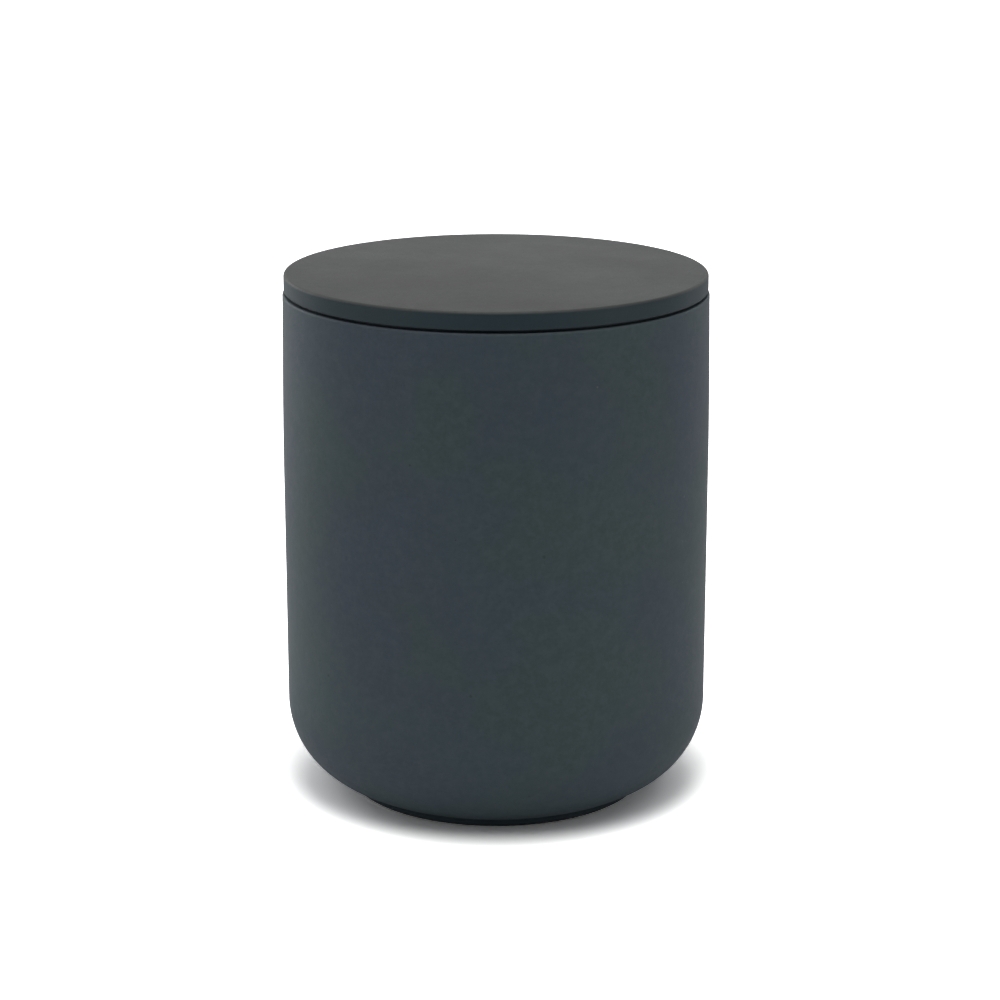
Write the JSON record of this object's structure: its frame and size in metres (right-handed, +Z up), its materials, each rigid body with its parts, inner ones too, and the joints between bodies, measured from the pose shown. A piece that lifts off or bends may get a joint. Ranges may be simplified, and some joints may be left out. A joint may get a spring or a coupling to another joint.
{
  "type": "lidded candle jar",
  "caption": "Round stoneware candle jar with rounded bottom corners and a low foot ring, closed by a flat disc lid that lifts off and turns on a silicone seal.",
  "frame": {"origin": "on the table, at the middle of the foot ring", "axes": "+Z up along the jar's axis; +X and +Y across the jar, which is the same all the way round"},
  "size_m": [0.0808, 0.0808, 0.1],
  "materials": {
    "jar_stoneware": "matte charcoal glaze over stoneware, fine sandy grain, unglazed where the foot ring stands",
    "lid_stoneware": "matte charcoal glaze over stoneware, fine sandy grain",
    "seal_silicone": "satin black silicone"
  },
  "bodies": {
    "jar": {"jar": "jar_stoneware"},
    "lid_seal": {"lid_seal": "seal_silicone"},
    "lid": {"lid": "lid_stoneware"}
  },
  "joints": [
    {"name": "lid_lift", "type": "slide", "parent": "jar", "child": "lid_seal", "axis": [0, 0, 1], "range_m": [0, 0.05]},
    {"name": "lid_turn", "type": "hinge", "parent": "lid_seal", "child": "lid", "pos_m": [0, 0, 0.0967], "axis": [0, 0, 1], "continuous": true}
  ]
}
